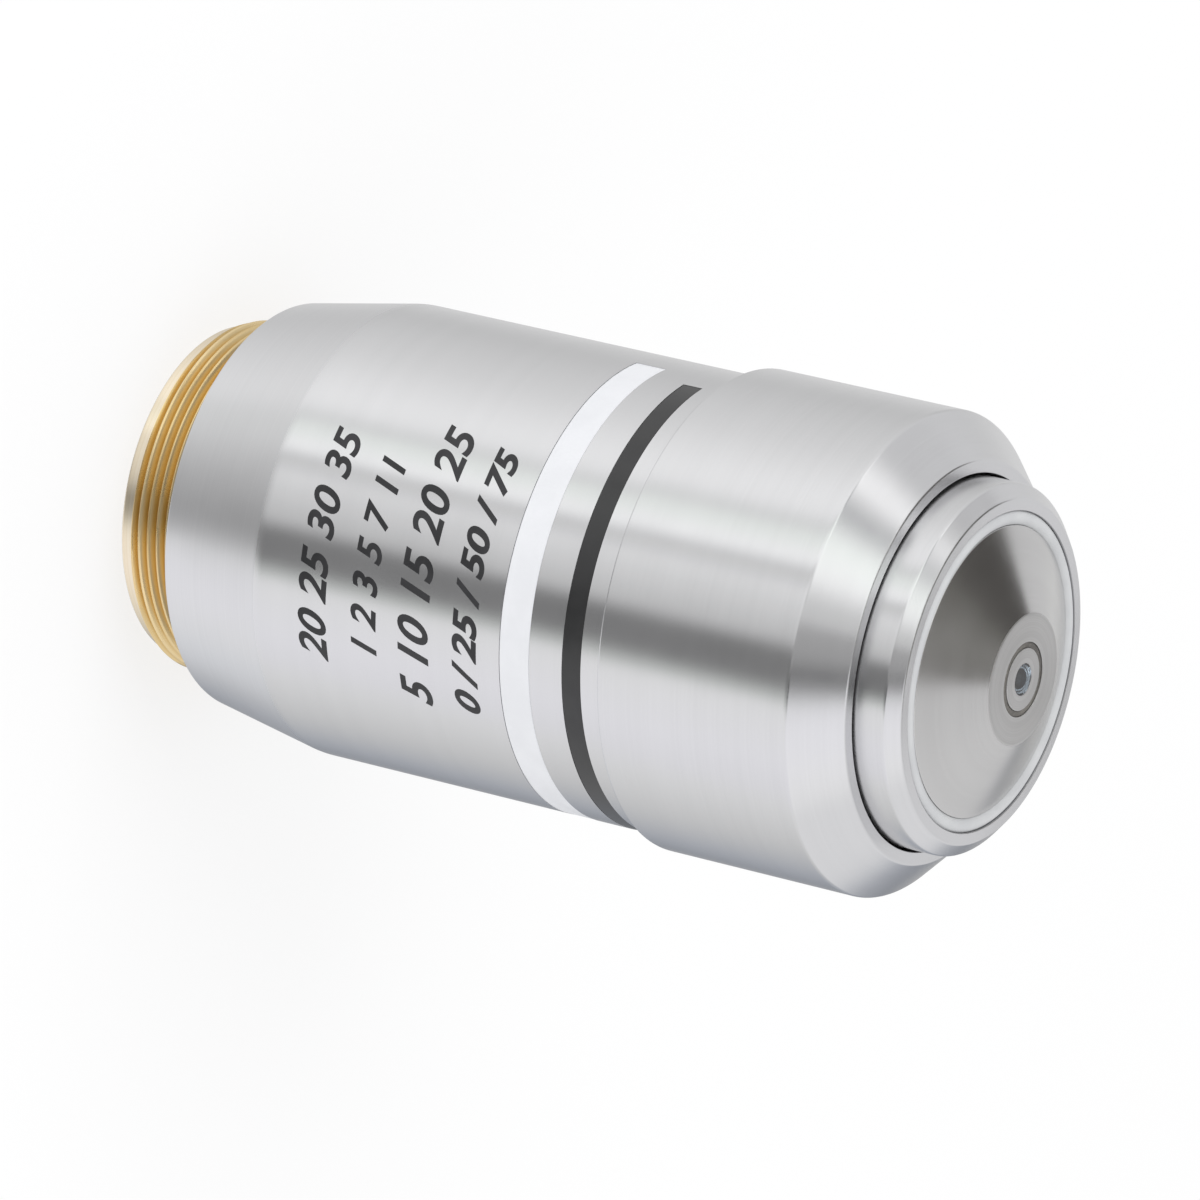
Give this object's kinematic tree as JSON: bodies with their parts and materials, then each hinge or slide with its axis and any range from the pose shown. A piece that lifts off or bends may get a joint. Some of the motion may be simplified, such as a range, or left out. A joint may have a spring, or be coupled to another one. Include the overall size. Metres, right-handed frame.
{
  "type": "microscope objective",
  "caption": "Spring-loaded oil-immersion microscope objective with a brass mounting thread, a banded chrome barrel and a conical sliding nose.",
  "frame": {"origin": "on the optical axis, in the plane of the mounting shoulder that seats on the nosepiece", "axes": "+Z along the optical axis from the mounting thread towards the front lens; +Y is the side with the guide pin, away from the marked side"},
  "size_m": [0.0336, 0.0336, 0.0653],
  "materials": {
    "satin_chrome": "fine turned satin chrome plating",
    "satin_steel": "fine turned stainless steel, radial grain",
    "turned_brass": "bright turned brass",
    "white_enamel": "satin white enamel filling",
    "black_enamel": "satin black enamel filling",
    "pale_seal": "pale moulded seal",
    "set_cement": "set cement with fine speckles",
    "black_cell": "black anodised, fine turned",
    "optical_glass": "polished and coated optical glass",
    "spring_steel": "drawn spring wire",
    "dark_steel": "blackened steel screw"
  },
  "bodies": {
    "barrel": {"thread_mount": "turned_brass", "main_barrel": "satin_chrome", "magnification_band": "white_enamel", "immersion_band": "black_enamel", "front_sleeve": "satin_chrome", "guide_pin": "dark_steel", "spring": "spring_steel"},
    "nose": {"lens_barrel": "satin_chrome", "nose_cap": "satin_steel", "seal_ring": "pale_seal", "front_cell": "satin_steel", "cement_ring": "set_cement", "front_lens": "optical_glass", "second_lens": "optical_glass", "second_lens_retainer": "black_cell", "third_lens": "optical_glass", "third_lens_retainer": "black_cell", "front_doublet_cell": "black_cell", "front_doublet_glass_1": "optical_glass", "front_doublet_glass_2": "optical_glass", "triplet_cell": "black_cell", "triplet_glass_1": "optical_glass", "triplet_glass_2": "optical_glass", "triplet_glass_3": "optical_glass", "centring_screws": "dark_steel", "front_spacer": "black_cell", "middle_doublet_cell": "black_cell", "middle_doublet_glass_1": "optical_glass", "middle_doublet_glass_2": "optical_glass", "rear_spacer": "black_cell", "rear_doublet_cell": "black_cell", "rear_doublet_glass_1": "optical_glass", "rear_doublet_glass_2": "optical_glass", "retaining_ring": "black_cell"}
  },
  "joints": [
    {"name": "nose_slide", "type": "slide", "parent": "barrel", "child": "nose", "axis": [0, 0, -1], "range_m": [0, 0.002], "stiffness_N_per_m": 600, "springref_m": -0.006, "deforming": ["spring"]}
  ]
}
